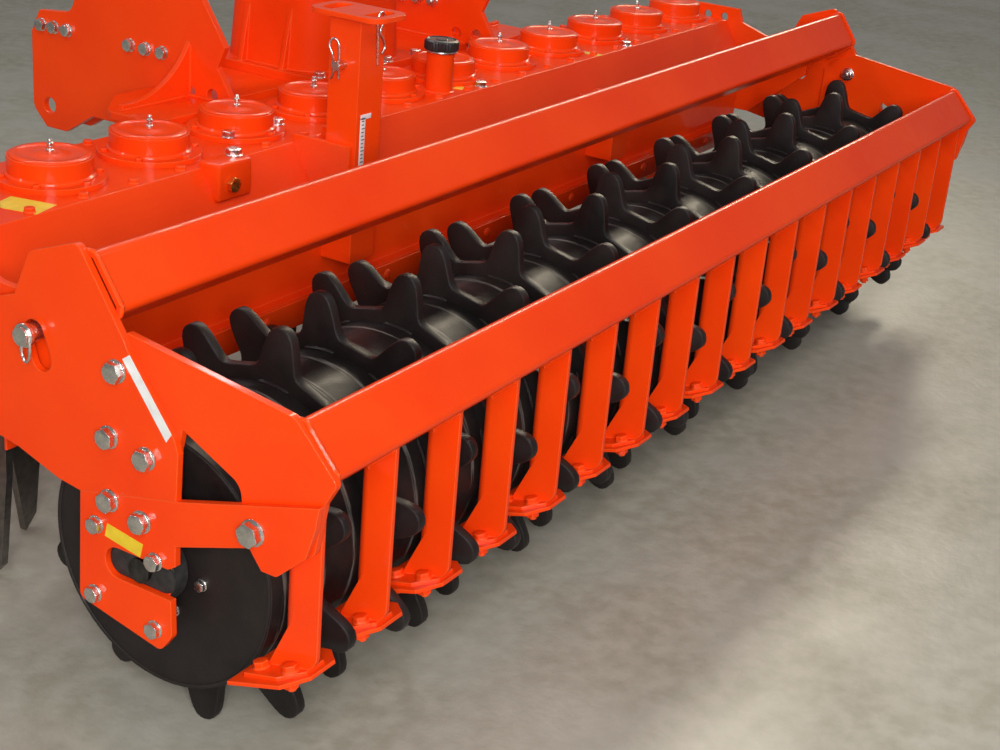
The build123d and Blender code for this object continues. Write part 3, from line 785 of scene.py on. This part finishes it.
# Gearbox: the cover is screwed down round its edge and a breather stands on it. The neck's
# seal carrier and the foot flange have their own bolts, all plated.
gearbox_fore, gearbox_top, gearbox_flange_top = 850, 993, 749
shaft_height, carrier_face = 880, 994
lid_circle, carrier_circle = 88, 80
breather_profile = [(0, 0), (13, 0), (13, 8), (9, 10), (9, 22), (14, 24), (15, 34), (11, 40), (0, 41)]
gear_bolts = bmesh.new()
for n in range(8):
    angle = radians(45 * n + 22.5)
    seat = at(lid_circle * cos(angle), gearbox_fore + lid_circle * sin(angle), gearbox_top)
    bolt(gear_bolts, seat, (0, 0, 1), 17, washer=False)
    angle = radians(45 * n + 10)
    seat = at(carrier_circle * cos(angle), carrier_face, shaft_height + carrier_circle * sin(angle))
    bolt(gear_bolts, seat, (0, 1, 0), 13, washer=False)
for x in (-192, -70, 70, 192):
    for fore in (690, 1010):
        bolt(gear_bolts, at(x, fore, gearbox_flange_top), (0, 0, 1), 24)
turned(gear_bolts, breather_profile, at(40, gearbox_fore, gearbox_top), (0, 0, 1), 20)
piece("gearbox_bolts", gear_bolts, zinc, "harrow")


# Input shaft: ground steel, with a plain journal and a six-splined end that has a turned
# groove for the yoke's lock.
spline_top, spline_root = 17.4, 14.5
shaft_neck = 1045


def spline(angle):
    """The radius round the six splines."""
    return spline_top if (angle % (pi / 3)) < pi / 6 + 0.06 else spline_root


shaft_profile = [(0, -54), (25, -54), (25, 4), (24, 6), (spline_top, 6.2), (spline_top, 10), (spline, 11),
                 (spline, 58), (spline_root, 59), (spline_root, 67), (spline, 68), (spline, 94),
                 (spline_root, 96), (0, 96)]
shaft = bmesh.new()
turned(shaft, shaft_profile, at(0, shaft_neck, shaft_height), (0, 1, 0), 72)
ground_steel = plated("ground_steel", light=(0.62, 0.61, 0.59), deep=(0.45, 0.44, 0.43), rough=0.22)
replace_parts(piece("input_splines", shaft, ground_steel, "input_shaft", 28), "pto_input_shaft")


# Filler: a turned neck, welded to the lid, with a plated ring under a ribbed cap of black
# moulded plastic.
cap_plastic, tree, principled = new_material("cap_plastic")
tree.links.new(blend(tree, noise(tree, 90, 3), (0.010, 0.010, 0.011), (0.020, 0.020, 0.021)),
               principled.inputs["Base Color"])
tree.links.new(bump(tree, noise(tree, 520, 2), 0.0003), principled.inputs["Normal"])
principled.inputs["Roughness"].default_value = 0.38
filler_x, filler_fore, neck_top = -5, 490, 823
neck_weld_radius = 33
rib_radius, groove_radius = 39.6, 37.6


def grip(angle):
    """The ribbed grip round the cap."""
    return rib_radius if round(angle * 36 / pi) % 2 else groove_radius


filler_cap_profile = [(0, 0), (36, 0), (38, 1), (grip, 3), (grip, 18), (38, 21), (35, 23.5), (33, 24),
                      (31, 22), (14, 22), (12, 24), (0, 24)]
cap = bmesh.new()
turned(cap, filler_cap_profile, at(filler_x, filler_fore, neck_top), (0, 0, 1), 72)
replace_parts(piece("filler_cap_ribbed", cap, cap_plastic, "harrow", 26), "filler_cap")
filler_ring_profile = [(32, -5), (36, -5), (36.5, -4), (36.5, -1), (36, -0.2), (32, -0.2)]
collar = bmesh.new()
turned(collar, filler_ring_profile, at(filler_x, filler_fore, neck_top), (0, 0, 1), 48)
piece("filler_ring", collar, zinc, "harrow")
neck_weld = bmesh.new()
neck_foot = [at(filler_x + neck_weld_radius * cos(a), filler_fore + neck_weld_radius * sin(a), lid_top + 2)
             for a in [2 * pi * n / 36 for n in range(36)]]
bead(neck_weld, neck_foot, leg=3.6, step=6, closed=True)
piece("filler_weld", neck_weld, orange, "harrow")


# Scale: a plain strip of white vinyl on the levelling stem's rear face, with a short foot
# and head, and black ticks printed on it at even steps.
def film_finish(name, light, deep, grain, rough):
    """A plain film or print, a little uneven in colour."""
    material, tree, principled = new_material(name)
    tree.links.new(blend(tree, noise(tree, *grain), deep, light), principled.inputs["Base Color"])
    tree.links.new(bump(tree, noise(tree, 300, 2), 0.0002), principled.inputs["Normal"])
    principled.inputs["Roughness"].default_value = rough
    return material


vinyl = film_finish("white_vinyl", light=(0.82, 0.82, 0.80), deep=(0.72, 0.72, 0.70), grain=(40, 3),
                    rough=0.32)
ink = film_finish("scale_ink", light=(0.035, 0.034, 0.033), deep=(0.012, 0.012, 0.012), grain=(80, 2),
                  rough=0.45)
stem_rear = 293
scale_left, scale_right, foot_right = -583, -567, -549
tick_left, tick_pitch, tick_wide = -579, 7.4, 1.8
scale = bmesh.new()
for x, low, high in ((scale_right, 702, 800), (foot_right, 796, 806), (foot_right, 696, 704)):
    block(scale, at(scale_left, stem_rear - 1.2, low), at(x, stem_rear, high), 0.5)
piece("stem_scale", scale, vinyl, "levelling")
ticks = bmesh.new()
for n in range(12):
    tick_right = -572 if n % 3 else -569
    up = 711 + tick_pitch * n
    block(ticks, at(tick_left, stem_rear - 1.8, up), at(tick_right, stem_rear - 1.1, up + tick_wide), 0.2)
piece("stem_scale_ticks", ticks, ink, "levelling")


# Stem clips: sprung wire clips of plated steel, one through the setting pin and one that
# hangs on the stem's handle.
def wire(name, points, radius, material, body):
    """A bent wire through a run of places."""
    curve = bpy.data.curves.new(name, "CURVE")
    curve.dimensions = "3D"
    curve.bevel_depth = radius / 1000
    curve.bevel_resolution = 3
    curve.use_fill_caps = True
    run = curve.splines.new("NURBS")
    run.points.add(len(points) - 1)
    for point, place in zip(run.points, points):
        point.co = (*place, 1)
    run.order_u = 3
    run.use_endpoint_u = True
    shaped = bpy.data.objects.new(name, curve)
    scene.collection.objects.link(shaped)
    bpy.context.view_layer.update()
    data = bpy.data.meshes.new_from_object(shaped)
    bpy.data.objects.remove(shaped)
    data.name = name
    data.polygons.foreach_set("use_smooth", [True] * len(data.polygons))
    data.materials.clear()
    data.materials.append(material)
    made = bpy.data.objects.new(name, data)
    scene.collection.objects.link(made)
    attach(made, body)
    return made


setting_clip_run = [(-608, 331, 874), (-608, 331, 930), (-608, 334, 946), (-612, 346, 952), (-616, 352, 936),
                    (-614, 343, 922), (-612, 342, 908), (-612, 346, 898), (-612, 338, 888), (-612, 346, 872)]
handle_clip_run = [(-548, 285, 900), (-552, 284, 950), (-560, 282, 985), (-556, 279, 1003), (-540, 280, 1002),
                   (-536, 284, 980), (-546, 285, 962), (-532, 285, 948), (-524, 284, 930), (-536, 285, 920)]
wire("setting_clip", [at(*spot) for spot in setting_clip_run], 2.0, zinc, "levelling")
wire("handle_clip", [at(*spot) for spot in handle_clip_run], 2.2, zinc, "levelling")


# Wear edge: a flat steel bar below the levelling bar's flange, held by cup-head bolts so
# that it can be renewed, and painted with it.
edge_half, edge_rear, edge_front, edge_low, edge_high = 1456, 334, 340, 392, 446
cup_head_profile = [(0, 0), (11, 0), (10.5, 2), (8, 4.6), (4, 5.8), (0, 6)]
wear_edge = bmesh.new()
block(wear_edge, at(-edge_half, edge_rear, edge_low), at(edge_half, edge_front, edge_high), 1.5)
for n in range(15):
    turned(wear_edge, cup_head_profile, at((n - 7) * 200, edge_rear, 424), (0, -1, 0), 20)
piece("levelling_wear_edge", wear_edge, orange, "levelling")


# Rotors: forged tine holders and knife tines of hardened bare steel, dulled by the heat.
# Two plated bolts hold each tine to its holder.
tine_steel = plated("tine_steel", light=(0.27, 0.255, 0.24), deep=(0.19, 0.18, 0.17), rough=0.42)
holder_reach, holder_bolt_height, tine_bolt_half_pitch = 100, 368, 20
for number, x in enumerate(rotor_places, start=1):
    finish(tine_steel, f"rotor_{number:02d}")
    tine_bolts = bmesh.new()
    turn_by = radians(90 if number % 2 == 0 else 0)
    out = Vector((cos(turn_by), sin(turn_by), 0))
    along = Vector((-sin(turn_by), cos(turn_by), 0))
    middle = at(x, rotor_fore, holder_bolt_height)
    for hand in (-1, 1):
        for side in (-1, 1):
            spot = middle + (hand * holder_reach * out + side * tine_bolt_half_pitch * along) / 1000
            bolt(tine_bolts, spot, hand * out, 22)
    piece(f"rotor_{number:02d}_bolts", tine_bolts, zinc, f"rotor_{number:02d}_turning")


# Bearing flanges: turned steel, bolted up under the trough round each rotor's shaft, with
# their bolts painted over.
bearing_flange_bottom, bearing_bolt_circle = 445, 78
flange_bolts = bmesh.new()
for x in rotor_places:
    for n in range(8):
        angle = radians(45 * n + 22.5)
        across, along = bearing_bolt_circle * cos(angle), bearing_bolt_circle * sin(angle)
        seat = at(x + across, rotor_fore + along, bearing_flange_bottom)
        bolt(flange_bolts, seat, (0, 0, -1), 15, washer=False)
piece("bearing_flange_bolts", flange_bolts, orange, "harrow")


# Side deflectors: flat steel sheets hung on their rods, each stiffened by three ribs that
# are welded to its outer face.
deflector_face, rib_thickness = 1525, 7
for hand, name in ((-1, "left"), (1, "right")):
    ribs = bmesh.new()
    near, far = sorted((hand * deflector_face, hand * (deflector_face + rib_thickness)))
    for rear, front, low, high in ((590, 900, 300, 318), (590, 880, 470, 488), (596, 614, 300, 488)):
        block(ribs, at(near, rear, low), at(far, front, high), 3)
    piece(f"deflector_ribs_{name}", ribs, orange, f"deflector_{name}")


# Reflective stripe and blank plates: plain white film on the arm's rear edge, and plain
# yellow film on the hanger and the lid, all without any print.
yellow = film_finish("yellow_film", light=(0.85, 0.60, 0.03), deep=(0.74, 0.50, 0.02), grain=(40, 3),
                     rough=0.4)
film_thickness = 0.5


def film(mesh, corners, lift, backed=True):
    """A thin film over a flat place, given by its corners and the way it faces, with a back or without."""
    near = [mesh.verts.new(corner) for corner in corners]
    far = [mesh.verts.new(corner + Vector(lift) * film_thickness / 1000) for corner in corners]
    if backed:
        mesh.faces.new(near)
    mesh.faces.new(far[::-1])
    for n in range(len(corners)):
        m = (n + 1) % len(corners)
        mesh.faces.new((near[n], near[m], far[m], far[n]))


stripe_corners = [(14, 667), (28, 657), (-56, 551), (-66, 566)]
plate_corners = [(61, 379), (66, 356), (-5, 344), (-11, 368)]
stripe = bmesh.new()
plates = bmesh.new()
for hand in (-1, 1):
    film(stripe, [at(hand * arm_face, *spot) for spot in stripe_corners], (hand, 0, 0))
    film(plates, [at(hand * arm_face, *spot) for spot in plate_corners], (hand, 0, 0))
lid_films = bmesh.new()
for x, fore, long, wide, lean in ((-1262, 487, 62, 88, 14), (77, 476, 58, 24, 4), (676, 466, 26, 60, 0)):
    along = Vector((cos(radians(lean)), sin(radians(lean)), 0)) * long / 2000
    across = Vector((-sin(radians(lean)), cos(radians(lean)), 0)) * wide / 2000
    middle = at(x, fore, lid_top)
    film(lid_films, [middle - along - across, middle + along - across, middle + along + across,
                     middle - along + across], (0, 0, 1), backed=False)
piece("reflective_stripe", stripe, vinyl, "roller_frame")
piece("blank_plates", plates, yellow, "roller_frame")
piece("lid_films", lid_films, yellow, "harrow")
